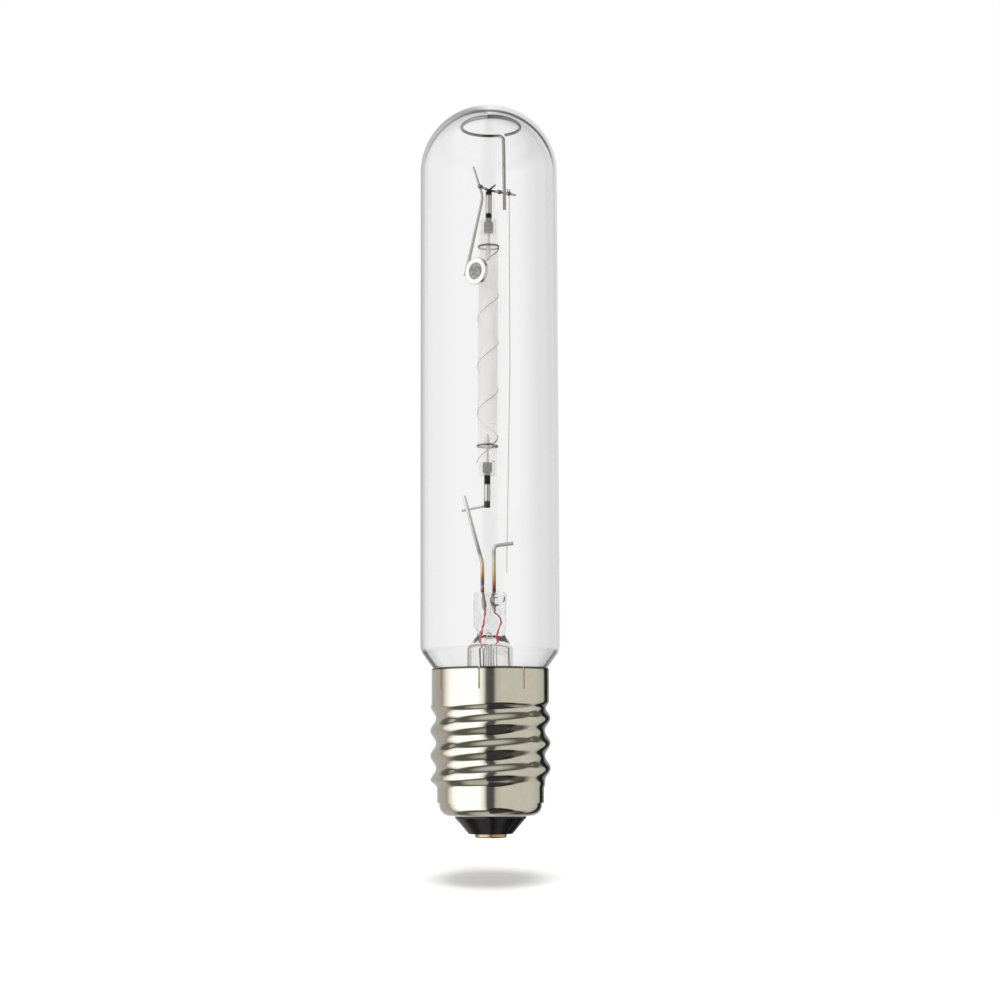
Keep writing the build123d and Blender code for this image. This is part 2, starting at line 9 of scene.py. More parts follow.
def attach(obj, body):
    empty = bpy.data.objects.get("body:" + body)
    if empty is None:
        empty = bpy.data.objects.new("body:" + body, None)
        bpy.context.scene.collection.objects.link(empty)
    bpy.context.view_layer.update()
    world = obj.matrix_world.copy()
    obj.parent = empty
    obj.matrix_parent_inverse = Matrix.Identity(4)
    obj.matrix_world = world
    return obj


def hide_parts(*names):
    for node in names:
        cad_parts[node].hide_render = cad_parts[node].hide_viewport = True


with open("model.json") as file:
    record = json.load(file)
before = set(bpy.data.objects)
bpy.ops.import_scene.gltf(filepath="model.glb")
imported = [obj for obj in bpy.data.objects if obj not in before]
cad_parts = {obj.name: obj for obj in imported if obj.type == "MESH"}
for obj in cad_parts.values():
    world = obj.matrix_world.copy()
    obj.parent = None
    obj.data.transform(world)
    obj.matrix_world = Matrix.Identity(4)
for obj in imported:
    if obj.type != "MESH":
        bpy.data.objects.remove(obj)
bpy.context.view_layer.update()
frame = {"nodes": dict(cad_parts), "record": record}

# Lengths are in millimetres. A name in _Z is a level above the foot of the centre contact.
MM = 0.001
FULL_TURN = 2 * math.pi

# Outer bulb
BULB_RADIUS = 23.0
BULB_WALL = 1.3
BULB_SIDES = 192
BULB_CONE_ANGLE = math.radians(36)
BULB_SHOULDER_RADIUS = 5.0
NECK_RADIUS = 16.3
NECK_BEND_RADIUS = 3.0
LAMP_LENGTH = 244.8
DOME_EXTRA = 0.8
SEAL_Z = 36.3
CAP_TOP_Z = 55.3
CAP_BORE = 18.8
DOME_Z = LAMP_LENGTH - BULB_RADIUS

# Stem
STEM_RADIUS = 7.6
STEM_WALL = 1.3
STEM_SIDES = 160
STEM_SHOULDER_Z = 61.0
STEM_SHOULDER_STEPS = 16
STEM_BORE_END_Z = 64.0
FLARE_LAND = 0.6
GLASS_GAP = 0.02
PRESS_HALF_WIDTH = 5.35
PRESS_HALF_THICKNESS = 2.3
PRESS_CORNER = 1.6
PRESS_CORNER_STEPS = 64
PRESS_EDGE = 1.1
PRESS_EDGE_STEPS = 6
PRESS_FOOT_Z = 65.9
PRESS_TOP_Z = 80.4
PRESS_STEPS = 40
PRESS_WAVE = 0.36
PRESS_WAVE_SCALE = 0.6
PRESS_WAVE_RISE = 4.0
PRESS_WAIST = 0.24
PRESS_WAIST_RIGHT = 0.3
PRESS_WAIST_Z = 66.6
PRESS_WAIST_HEIGHT = 1.8
PRESS_SHADE_BELOW = 2.0
PRESS_SHADE_ABOVE = 1.0
BEAD_AT = (2.2, 77.6)
BEAD_RADIUS = 3.1
BEAD_DEPTH = 1.5
# Dark strokes of painted shade in the bead round the right lead.
CURL_SHADE_Y = -2.7
CURL_SHADE_TAPER = 0.8
CURL_SHADE_SHRINK = 0.2
CURL_SHADE_STEPS = 32
# Each painted shade stroke: reach from the bead's middle, start and end in degrees, radius.
CURL_SHADE_STROKES = ((2.2, 205, 60, 0.16), (2.05, 175, 300, 0.5), (0.8, 190, 50, 0.2), (2.8, 30, -25, 0.22))
EXHAUST_X = -0.4
EXHAUST_RADIUS = 1.85
EXHAUST_BORE = 0.95
EXHAUST_TIP_Z = 19.9
EXHAUST_PORT_Z = 66.2

# Screw shell
SHELL_WALL = 0.5
SHELL_STEPS = 28
SHELL_CREASE = math.radians(40)
SHELL_FOOT_Z = 7.1
SHELL_MOUTH = 11.73
RIM_RADIUS = 16.8
RIM_BEND = 3.6
BAND_RADIUS = 17.5
BAND_Z = 11.4
THREAD_Z = 15.9
THREAD_TOP_Z = 44.5
THREAD_LEVELS = 120
THREAD_MEAN = 18.8
THREAD_DEPTH = 0.9
THREAD_PITCH = 8.15
THREAD_RUN_OUT = 3.0
THREAD_TURN = math.radians(65)
SKIRT_RADIUS = 19.3
SKIRT_EDGE = 0.6
# Painted shade darkens the skirt above this level.
EDGE_SHADE_Z = 54.4
SLIT_COUNT = 8
SLIT_STEP = FULL_TURN / SLIT_COUNT
SLIT_HALF_WIDTH = 0.25
SLIT_LENGTH = 7.2
SLIT_Z = CAP_TOP_Z - SLIT_LENGTH
SLIT_TURN = math.radians(-100.5)

# Arc tube and mount. STARTER_FOOT and CROSS_SET are heights above the arc tube's middle.
ARC_X = -0.45
ARC_Z = 162.4
ARC_LEAN = math.radians(0.47)
ARC_ENDS_Z = (119.0, 208.0)
LEAD_ENDS_Z = (78.0, 114.0)
TOP_NIOBIUM_ENDS_Z = (200.0, 216.0)
BOTTOM_NIOBIUM_ENDS_Z = (108.0, 124.0)
STARTER_ENDS_Z = (122.0, 200.0)
STARTER_RADIUS = 0.15
STARTER_COIL = 3.45
STARTER_FOOT = -33.75
STARTER_START = math.radians(303)
STARTER_CLOSE_TURNS = 2
STARTER_CLOSE_RISE = 0.7
STARTER_TURNS = 4.17
STARTER_RISE = 66.8
STARTER_TAIL_TURNS = 0.33
STARTER_STEPS = 40
CROSS_SET = 53.56
CROSS_RADIUS = 0.4
CROSS_HEAT_REACH = 4.0
LEFT_ARM = math.radians(241)
RIGHT_ARM = math.radians(35.5)
WRAP_RADIUS = 0.16
WRAP_STEPS = 16
WRAP_LEAN = 0.3
# Each wrap: arm, start and end along it, turns, length of the ends.
WRAPS = ((LEFT_ARM, 5.2, 6.6, 3, 0.2), (RIGHT_ARM, 4.0, 4.9, 3, 0.2), (RIGHT_ARM, 7.9, 8.5, 2, 1.0))
RING_Z = 237.4
RING_WIRE_RADIUS = 0.55

# Camera, floor and lamps
CAMERA_AT = (3.4, -744.0, 27.0)
CAMERA_PITCH = math.radians(6.44)
CAMERA_ROLL = math.radians(-0.2)
CAMERA_LENS = 81.2
CAMERA_SENSOR = 36.0
CAMERA_NEAR = 10.0
CAMERA_FAR = 50000.0
FLOOR_Z = -13.5
FLOOR_RADIUS = 450.0
FLOOR_SIDES = 64
FLOOR_PLAIN = 110.0
FLOOR_END = 260.0
FLOOR_SLOPE = math.radians(7)
TOP_LAMP = {"at": (0.0, -50.0, 1500.0), "target": (0.0, 0.0, 0.0), "size": 700.0, "power": 15.0}
FRONT_LAMP = {"at": (500.0, -1400.0, 500.0), "target": (0.0, 0.0, 150.0), "size": 900.0, "power": 11.0}


# Meshes

def new_piece(name, mesh, material, node=None):
    """A smooth piece that rides the lamp and may stand for one CAD node."""
    mesh.polygons.foreach_set("use_smooth", [True] * len(mesh.polygons))
    mesh.materials.append(material)
    piece = bpy.data.objects.new(name, mesh)
    bpy.context.scene.collection.objects.link(piece)
    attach(piece, "root")
    if node:
        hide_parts(node)
    return piece


def ring_skin(build, rings):
    """Skin over a row of rings, facing outward where they rise. A ring of one point is a pole."""
    rows = [[build.verts.new(Vector(p) * MM) for p in ring] for ring in rings]
    for low, high in zip(rows, rows[1:]):
        count = max(len(low), len(high))
        for i in range(count):
            j = (i + 1) % count
            corners = [low[i % len(low)], low[j % len(low)], high[j % len(high)], high[i % len(high)]]
            build.faces.new(list(dict.fromkeys(corners)))


def skin_mesh(name, *skins):
    """Mesh of one or more skins."""
    build = bmesh.new()
    for rings in skins:
        ring_skin(build, rings)
    mesh = bpy.data.meshes.new(name)
    build.to_mesh(mesh)
    build.free()
    return mesh


def circle(radius, z, x=0.0, count=STEM_SIDES):
    """Ring of points round an upright axis."""
    turns = [FULL_TURN * i / count for i in range(count)]
    return [(x + radius * math.cos(t), radius * math.sin(t), z) for t in turns]


def arc(middle, radius, start, end, steps):
    """Points on an arc, as radius and height, angles in degrees."""
    turns = [math.radians(start + (end - start) * i / steps) for i in range(steps + 1)]
    return [(middle[0] + radius * math.cos(t), middle[1] + radius * math.sin(t)) for t in turns]


def tube_rings(points, radius, sides=10, taper=0.0):
    """Rings of a round wire along a row of points, with a pole at each end and, if wanted, thinner ends."""
    points = [Vector(p) for p in points]
    turns = [FULL_TURN * k / sides for k in range(sides)]
    normal = (points[1] - points[0]).orthogonal()
    rings = [[points[0]]]
    for i, point in enumerate(points):
        forward = (points[min(i + 1, len(points) - 1)] - points[max(i - 1, 0)]).normalized()
        normal = (normal - forward * normal.dot(forward)).normalized()
        across = forward.cross(normal)
        size = radius * (1 - taper * (2 * i / (len(points) - 1) - 1) ** 2)
        rings.append([point + (normal * math.cos(t) + across * math.sin(t)) * size for t in turns])
    return rings + [[points[-1]]]


def bulb_profile(inset):
    """Neck, cone, tube and dome of the bulb's outside or inside, from the foot up."""
    half_turn = math.tan(BULB_CONE_ANGLE / 2)
    lift = inset * half_turn
    slope = math.tan(BULB_CONE_ANGLE)
    shoulder_z = CAP_TOP_Z + (BULB_RADIUS - CAP_BORE) / slope + lift
    neck_top_z = shoulder_z - (BULB_RADIUS - NECK_RADIUS) / slope
    side, neck = BULB_RADIUS - inset, NECK_RADIUS - inset
    neck_bend = NECK_BEND_RADIUS + inset
    shoulder_bend = BULB_SHOULDER_RADIUS - inset
    neck_mid = (neck + neck_bend, neck_top_z - neck_bend * half_turn)
    shoulder_mid = (side - shoulder_bend, shoulder_z + shoulder_bend * half_turn)
    tilt = math.degrees(BULB_CONE_ANGLE)
    points = [(neck, SEAL_Z)]
    points += arc(neck_mid, neck_bend, 180, 180 - tilt, 8)
    points += arc(shoulder_mid, shoulder_bend, -tilt, 0, 10)
    points += [(side, DOME_Z - (DOME_Z - shoulder_mid[1]) * share / 8) for share in range(7, 0, -1)]
    squash = 1 - DOME_EXTRA * inset / BULB_WALL / side
    points += [(r, DOME_Z + (z - DOME_Z) * squash) for r, z in arc((0, DOME_Z), side, 0, 88, 44)]
    return points


def bulb_mesh():
    """Clear glass: inside from the dome's pole down to the neck, and outside back up to the pole."""
    inside = [circle(r, z, count=BULB_SIDES) for r, z in reversed(bulb_profile(BULB_WALL))]
    outside = [circle(r, z, count=BULB_SIDES) for r, z in bulb_profile(0)]
    inner_pole = [(0, 0, LAMP_LENGTH - BULB_WALL - DOME_EXTRA)]
    return skin_mesh("clear_bulb", [inner_pole, *inside, *outside, [(0, 0, LAMP_LENGTH)]])


def fade(rise):
    """Share of the full thread at a height above either end."""
    share = min(max(rise / THREAD_RUN_OUT, 0), 1)
    return share * share * (3 - 2 * share)


def thread_radius(turn, z):
    """Radius of the round thread in a direction and at a level."""
    low, high = fade(z - THREAD_Z), fade(THREAD_TOP_Z - z)
    mean = BAND_RADIUS + (THREAD_MEAN - BAND_RADIUS) * low + (SKIRT_RADIUS - THREAD_MEAN) * (1 - high)
    phase = turn - THREAD_TURN - FULL_TURN * (z - THREAD_Z) / THREAD_PITCH
    return mean + THREAD_DEPTH * low * high * math.cos(phase)


def shell_turns():
    """Directions of the shell's columns, with a pair at the sides of each slit."""
    half = SLIT_HALF_WIDTH / SKIRT_RADIUS
    turns = []
    for slit in range(SLIT_COUNT):
        start = SLIT_TURN + slit * SLIT_STEP
        turns.append(start - half)
        turns += [start + half + (SLIT_STEP - 2 * half) * i / SHELL_STEPS for i in range(SHELL_STEPS)]
    return turns


def shell_profile():
    """Radius and height up the shell's outside. On the thread a function gives the radius."""
    bend = (RIM_RADIUS - RIM_BEND, SHELL_FOOT_Z + RIM_BEND)
    points = [(SHELL_MOUTH, SHELL_FOOT_Z)]
    points += arc(bend, RIM_BEND, -90, 0, 12)
    points += [(RIM_RADIUS, BAND_Z), (BAND_RADIUS, BAND_Z)]
    rise = THREAD_TOP_Z - THREAD_Z
    points += [(thread_radius, THREAD_Z + rise * i / THREAD_LEVELS) for i in range(THREAD_LEVELS + 1)]
    points += [(SKIRT_RADIUS, SLIT_Z), (SKIRT_RADIUS, (SLIT_Z + CAP_TOP_Z) / 2)]
    points += arc((SKIRT_RADIUS - SKIRT_EDGE, CAP_TOP_Z - SKIRT_EDGE), SKIRT_EDGE, 0, 75, 5)
    return points


def in_slit(point):
    """Whether the middle of one of the shell's faces lies in one of the slits."""
    beside = (math.atan2(point.y, point.x) - SLIT_TURN) % SLIT_STEP
    return point.z > SLIT_Z and min(beside, SLIT_STEP - beside) * SKIRT_RADIUS < SLIT_HALF_WIDTH / 2


def shell_mesh():
    """Outside of the shell from the rim's mouth to the skirt's edge, with the slits left open."""
    turns = shell_turns()
    rings = []
    for radius, z in shell_profile():
        radii = [radius(t, z) if callable(radius) else radius for t in turns]
        rings.append([(r * math.cos(t), r * math.sin(t), z) for r, t in zip(radii, turns)])
    mesh = skin_mesh("screw_shell_sheet", rings)
    build = bmesh.new()
    build.from_mesh(mesh)
    open_faces = [face for face in build.faces if in_slit(face.calc_center_median() / MM)]
    bmesh.ops.delete(build, geom=open_faces, context="FACES")
    for edge in build.edges:
        edge.smooth = len(edge.link_faces) == 2 and edge.calc_face_angle() < SHELL_CREASE
    build.to_mesh(mesh)
    build.free()
    return mesh


def slab(half_width, half_thickness, corner, z, count=STEM_SIDES):
    """Rounded rectangle as a ring of evenly spaced points."""
    turns = [FULL_TURN * (i + 0.5) / PRESS_CORNER_STEPS for i in range(PRESS_CORNER_STEPS)]
    corners = [(half_width - corner) * math.copysign(1, math.cos(t)) for t in turns]
    sides = [(half_thickness - corner) * math.copysign(1, math.sin(t)) for t in turns]
    outline = [(x + corner * math.cos(t), y + corner * math.sin(t)) for x, y, t in zip(corners, sides, turns)]
    runs = [math.dist(a, b) for a, b in zip(outline, outline[1:] + outline[:1])]
    ring, side, passed = [], 0, 0.0
    for i in range(count):
        way = sum(runs) * i / count
        while way > passed + runs[side]:
            passed += runs[side]
            side += 1
        share = (way - passed) / runs[side]
        a, b = outline[side], outline[(side + 1) % len(outline)]
        ring.append((a[0] + (b[0] - a[0]) * share, a[1] + (b[1] - a[1]) * share, z))
    return ring


def melted(ring):
    """Ring of the press with the waves of worked glass and the bead round the right lead."""
    moved = []
    for x, y, z in ring:
        out = Vector((x / PRESS_HALF_WIDTH**2, y / PRESS_HALF_THICKNESS**2)).normalized()
        share = min(max((z - STEM_SHOULDER_Z) / PRESS_WAVE_RISE, 0), 1)
        wave = PRESS_WAVE * share * field.noise(Vector((x, y, z)) * PRESS_WAVE_SCALE)
        waist = PRESS_WAIST * math.exp(-((z - PRESS_WAIST_Z) / PRESS_WAIST_HEIGHT) ** 2)
        waist *= 1 if x < 0 else PRESS_WAIST_RIGHT
        x, y = (x + out.x * wave) * (1 - waist), y + out.y * wave
        away = math.dist((x, z), BEAD_AT) / BEAD_RADIUS
        if y < 0 and away < 1:
            y -= BEAD_DEPTH * (1 - away**2) ** 2
        moved.append((x, y, z))
    return moved


def press_rings():
    """Shoulder and flattened press of the stem, from the stem's tube up to the middle of its top."""
    size = (PRESS_HALF_WIDTH, PRESS_HALF_THICKNESS, PRESS_CORNER)
    rings = []
    for step in range(STEM_SHOULDER_STEPS + 1):
        share = step / STEM_SHOULDER_STEPS
        z = STEM_SHOULDER_Z + (PRESS_FOOT_Z - STEM_SHOULDER_Z) * share
        ring = []
        for x, y, _ in slab(*size, z):
            t = math.atan2(y / PRESS_HALF_THICKNESS, x / PRESS_HALF_WIDTH)
            round_x, round_y = STEM_RADIUS * math.cos(t), STEM_RADIUS * math.sin(t)
            ring.append((round_x + (x - round_x) * share, round_y + (y - round_y) * share, z))
        rings.append(ring)
    straight = PRESS_TOP_Z - PRESS_EDGE - PRESS_FOOT_Z
    rings += [slab(*size, PRESS_FOOT_Z + straight * step / PRESS_STEPS) for step in range(1, PRESS_STEPS)]
    for step in range(PRESS_EDGE_STEPS + 1):
        turn = math.radians(90 * step / PRESS_EDGE_STEPS)
        cut = PRESS_EDGE * (1 - math.cos(turn))
        z = PRESS_TOP_Z - PRESS_EDGE * (1 - math.sin(turn))
        rings.append(slab(*(length - cut for length in size), z))
    return [melted(ring) for ring in rings] + [[(0, 0, PRESS_TOP_Z)]]


def stem_mesh():
    """Exhaust tube, bore, flare and press of the stem as one skin, and the exhaust tube's bore as another."""
    land = NECK_RADIUS - BULB_WALL - FLARE_LAND
    sweep = land - STEM_RADIUS
    bend = (land, SEAL_Z + sweep)
    tip = arc((0, EXHAUST_TIP_Z), EXHAUST_RADIUS, -80, 0, 8)
    rings = [[(EXHAUST_X, 0, EXHAUST_TIP_Z - EXHAUST_RADIUS)]]
    rings += [circle(r, z, EXHAUST_X) for r, z in tip]
    rings.append(circle(EXHAUST_RADIUS, STEM_BORE_END_Z, EXHAUST_X))
    rings.append(circle(STEM_RADIUS - STEM_WALL, STEM_SHOULDER_Z))
    rings += [circle(r, z) for r, z in arc(bend, sweep + STEM_WALL, 180, 270, 12)]
    rings.append(circle(NECK_RADIUS, SEAL_Z - STEM_WALL))
    rings.append(circle(NECK_RADIUS, SEAL_Z - GLASS_GAP))
    rings += [circle(r, z) for r, z in arc(bend, sweep, 270, 180, 12)]
    bore = [[(EXHAUST_X, 0, EXHAUST_PORT_Z + EXHAUST_BORE)]]
    bore += [circle(r, z, EXHAUST_X) for r, z in arc((0, EXHAUST_PORT_Z), EXHAUST_BORE, 80, 0, 6)]
    bore += [circle(r, z, EXHAUST_X) for r, z in arc((0, EXHAUST_TIP_Z), EXHAUST_BORE, 0, -80, 6)]
    bore.append([(EXHAUST_X, 0, EXHAUST_TIP_Z - EXHAUST_BORE)])
    return skin_mesh("stem_glass", rings + press_rings(), bore)


def curl_shade_mesh():
    """Dark curled strokes in the bead, thin at their ends: painted shade for the dark lines of the curled
    glass.
    """
    middle_x, middle_z = BEAD_AT
    skins = []
    for reach, start, end, radius in CURL_SHADE_STROKES:
        points = []
        for step in range(CURL_SHADE_STEPS + 1):
            share = step / CURL_SHADE_STEPS
            turn = math.radians(start + (end - start) * share)
            length = reach * (1 - CURL_SHADE_SHRINK * share)
            points.append((middle_x + length * math.cos(turn), CURL_SHADE_Y, middle_z + length * math.sin(turn)))
        skins.append(tube_rings(points, radius, taper=CURL_SHADE_TAPER))
    return skin_mesh("painted_curl_shade", *skins)


def arc_point(rise, reach=0.0, turn=0.0):
    """Point beside the leaning axis of the arc tube, above its middle."""
    tilt = Matrix.Rotation(ARC_LEAN, 3, "Y")
    return Vector((ARC_X, 0, ARC_Z)) + tilt @ Vector((reach * math.cos(turn), reach * math.sin(turn), rise))


def starter_mesh():
    """Spiral round the arc tube between two close windings, with a tail at its foot."""
    slope = STARTER_RISE / STARTER_TURNS
    close = STARTER_CLOSE_RISE / STARTER_CLOSE_TURNS
    rise, turn = STARTER_FOOT - STARTER_TAIL_TURNS * slope, STARTER_START - STARTER_TAIL_TURNS * FULL_TURN
    points = [arc_point(rise, STARTER_COIL, turn)]
    stages = [(STARTER_TAIL_TURNS, slope), (STARTER_CLOSE_TURNS, close), (STARTER_TURNS, slope),
              (STARTER_CLOSE_TURNS, close)]
    for turns, pitch in stages:
        steps = round(turns * STARTER_STEPS)
        for step in range(steps):
            rise += pitch * turns / steps
            turn += FULL_TURN * turns / steps
            points.append(arc_point(rise, STARTER_COIL, turn))
    return skin_mesh("starting_wire", tube_rings(points, STARTER_RADIUS, 8))


def wrap_rings(arm, start, end, turns, tail):
    """Close coil of thin wire round an arm of the top cross wire, with ends that stand off."""
    axis = Vector((math.cos(arm), math.sin(arm), 0))
    beside = Vector((0, 0, 1)).cross(axis)
    points = []
    for step in range(turns * WRAP_STEPS + 1):
        share = step / (turns * WRAP_STEPS)
        t = FULL_TURN * turns * share
        out = beside * math.sin(t) + Vector((0, 0, math.cos(t)))
        points.append(arc_point(CROSS_SET) + axis * (start + (end - start) * share)
                      + out * (CROSS_RADIUS + WRAP_RADIUS))
    first = points[0] + Vector((0, 0, tail)) + axis * -WRAP_LEAN * tail
    last = points[-1] + Vector((0, 0, tail)) + axis * WRAP_LEAN * tail
    return tube_rings([first, *points, last], WRAP_RADIUS, 8)


def wraps_mesh():
    """Wire wraps beside the getter's wire, the dome ring's stem and the return wire."""
    return skin_mesh("mount_wraps", *(wrap_rings(*wrap) for wrap in WRAPS))


# Materials

METAL_RELIEF = 0.1
STONE_RELIEF = 0.2
WIRE_GRAIN = 1500.0
WIRE_STRETCH = (1, 1, 0.15)


def grey(level):
    """Neutral colour."""
    return (level, level, level)


def add(tree, kind, **sockets):
    """New shader node with the named inputs set."""
    made = tree.nodes.new(kind)
    for name, value in sockets.items():
        made.inputs[name.replace("_", " ")].default_value = value
    return made


def ramp(tree, factor, *stops):
    """Colour ramp from pairs of place and colour."""
    made = tree.nodes.new("ShaderNodeValToRGB")
    row = made.color_ramp.elements
    while len(row) < len(stops):
        row.new(0.5)
    for element, (place, _) in zip(row, stops):
        element.position = place
    for element, (_, colour) in zip(row, stops):
        element.color = (*colour, 1)
    tree.links.new(factor, made.inputs["Fac"])
    return made.outputs["Color"]


def principled(name, colour, **sockets):
    """Material with one Principled shader."""
    material = bpy.data.materials.new(name)
    material.use_nodes = True
    tree = material.node_tree
    shader = tree.nodes["Principled BSDF"]
    shader.inputs["Base Color"].default_value = (*colour, 1)
    for socket, value in sockets.items():
        shader.inputs[socket.replace("_", " ")].default_value = value
    return material, tree, shader


def noise(tree, scale, detail=4.0, stretch=(1, 1, 1)):
    """Noise in the lamp's own coordinates."""
    place = tree.nodes.new("ShaderNodeTexCoord")
    mapping = tree.nodes.new("ShaderNodeMapping")
    mapping.inputs["Scale"].default_value = stretch
    texture = add(tree, "ShaderNodeTexNoise", Scale=scale, Detail=detail)
    tree.links.new(place.outputs["Object"], mapping.inputs["Vector"])
    tree.links.new(mapping.outputs["Vector"], texture.inputs["Vector"])
    return texture.outputs["Fac"]


def roughen(tree, shader, factor, low, high):
    """Roughness between two values."""
    spread = add(tree, "ShaderNodeMapRange", To_Min=low, To_Max=high)
    tree.links.new(factor, spread.inputs["Value"])
    tree.links.new(spread.outputs["Result"], shader.inputs["Roughness"])


def bump(tree, shader, factor, strength, distance):
    """Fine relief."""
    made = add(tree, "ShaderNodeBump", Strength=strength, Distance=distance)
    tree.links.new(factor, made.inputs["Height"])
    tree.links.new(made.outputs["Normal"], shader.inputs["Normal"])


def height(tree, low, high):
    """Share of the way between two levels of the lamp."""
    place = tree.nodes.new("ShaderNodeTexCoord")
    split = tree.nodes.new("ShaderNodeSeparateXYZ")
    share = add(tree, "ShaderNodeMapRange", From_Min=low * MM, From_Max=high * MM)
    tree.links.new(place.outputs["Object"], split.inputs["Vector"])
    tree.links.new(split.outputs["Z"], share.inputs["Value"])
    return share.outputs["Result"]


def metal(name, dark, light, rough, scale=900.0, stretch=(1, 1, 1), relief=0.05):
    """Metal with small changes of tone, gloss and surface."""
    material, tree, shader = principled(name, light, Metallic=1.0)
    grain = noise(tree, scale, 5.0, stretch)
    tree.links.new(ramp(tree, grain, (0.3, dark), (0.7, light)), shader.inputs["Base Color"])
    roughen(tree, shader, grain, *rough)
    bump(tree, shader, grain, relief, METAL_RELIEF * MM)
    return material


def blend(tree, factor, first, second):
    """Mix of two colours, each a plain one or another node's."""
    made = tree.nodes.new("ShaderNodeMix")
    made.data_type = "RGBA"
    tree.links.new(factor, made.inputs["Factor"])
    for name, colour in (("A", first), ("B", second)):
        if isinstance(colour, tuple):
            made.inputs[name].default_value = (*colour, 1)
        else:
            tree.links.new(colour, made.inputs[name])
    return made.outputs["Result"]


def overlay(material, factor, colour):
    """Second colour of a material, laid over its first by a factor."""
    tree = material.node_tree
    base = tree.nodes["Principled BSDF"].inputs["Base Color"]
    tree.links.new(blend(tree, factor, base.links[0].from_socket, colour), base)


def plated(name, dark, light, rough):
    """Bright plating, faintly clouded, with painted shade darkening the skirt's upper edge."""
    material = metal(name, dark, light, rough, 260.0, relief=0.02)
    # Painted shade: the skirt is darkened over its rounded top edge.
    overlay(material, height(material.node_tree, EDGE_SHADE_Z, CAP_TOP_Z - SKIRT_EDGE), (0.13, 0.125, 0.11))
    return material


def outline(tree, *stops):
    """Grey that changes towards the outline, from pairs of place and level."""
    rim = add(tree, "ShaderNodeLayerWeight", Blend=0.5)
    return ramp(tree, rim.outputs["Facing"], *((place, grey(level)) for place, level in stops))


def glass(name, ior, *stops):
    """Clear glass whose colour greys towards its outline: painted shade for its dark edges, more than the
    longer path of the light through the glass would give.
    """
    middle = grey(stops[0][1])
    material, tree, shader = principled(name, middle, Transmission_Weight=1.0, IOR=ior, Roughness=0.0)
    tree.links.new(outline(tree, *stops), shader.inputs["Base Color"])
    return material


def pressed_glass(name):
    """Stem glass with painted shade: its outline is darker still in a band round the foot of the press."""
    material = glass(name, 1.5, (0.0, 0.985), (0.5, 0.98), (0.8, 0.97), (1.0, 0.93))
    tree = material.node_tree
    edge = outline(tree, (0.0, 0.985), (0.2, 0.95), (0.4, 0.85), (0.6, 0.7), (1.0, 0.4))
    overlay(material, height(tree, PRESS_FOOT_Z - PRESS_SHADE_BELOW, PRESS_FOOT_Z + PRESS_SHADE_ABOVE), edge)
    return material


def tinted(name, factor, *stops, rough=(0.22, 0.4)):
    """Wire whose colour follows a ramp along it: heat colours on the leads, painted shade on the dome ring.
    """
    material, tree, shader = principled(name, stops[-1][1], Metallic=1.0)
    grain = noise(tree, WIRE_GRAIN, 5.0, WIRE_STRETCH)
    tree.links.new(ramp(tree, factor(tree), *stops), shader.inputs["Base Color"])
    roughen(tree, shader, grain, *rough)
    bump(tree, shader, grain, 0.08, METAL_RELIEF * MM)
    return material


def between(low, high):
    """Factor that runs between two levels of the lamp."""
    return lambda tree: height(tree, low, high)


def away_from(point, reach, near=0.0):
    """Factor that runs from one distance of a point to another."""
    def factor(tree):
        """Share at each point of the surface."""
        place = tree.nodes.new("ShaderNodeTexCoord")
        length = tree.nodes.new("ShaderNodeVectorMath")
        length.operation = "DISTANCE"
        length.inputs[1].default_value = Vector(point) * MM
        share = add(tree, "ShaderNodeMapRange", From_Min=near * MM, From_Max=reach * MM)
        tree.links.new(place.outputs["Object"], length.inputs[0])
        tree.links.new(length.outputs["Value"], share.inputs["Value"])
        return share.outputs["Result"]
    return factor


def stone(name, dark, light, rough, scale, relief, **sockets):
    """Ceramic, cement or glass body with a grain."""
    material, tree, shader = principled(name, light, **sockets)
    grain = noise(tree, scale, 6.0)
    tree.links.new(ramp(tree, grain, (0.3, dark), (0.7, light)), shader.inputs["Base Color"])
    roughen(tree, shader, grain, *rough)
    bump(tree, shader, grain, relief, STONE_RELIEF * MM)
    return material


def translucent(name, dark, light, rough, factor, *stops):
    """Ceramic that lets more of its inside show in some places than in others."""
    material = stone(name, dark, light, rough, 250.0, 0.02)
    tree = material.node_tree
    cover = ramp(tree, factor(tree), *((place, grey(level)) for place, level in stops))
    tree.links.new(cover, tree.nodes["Principled BSDF"].inputs["Alpha"])
    return material


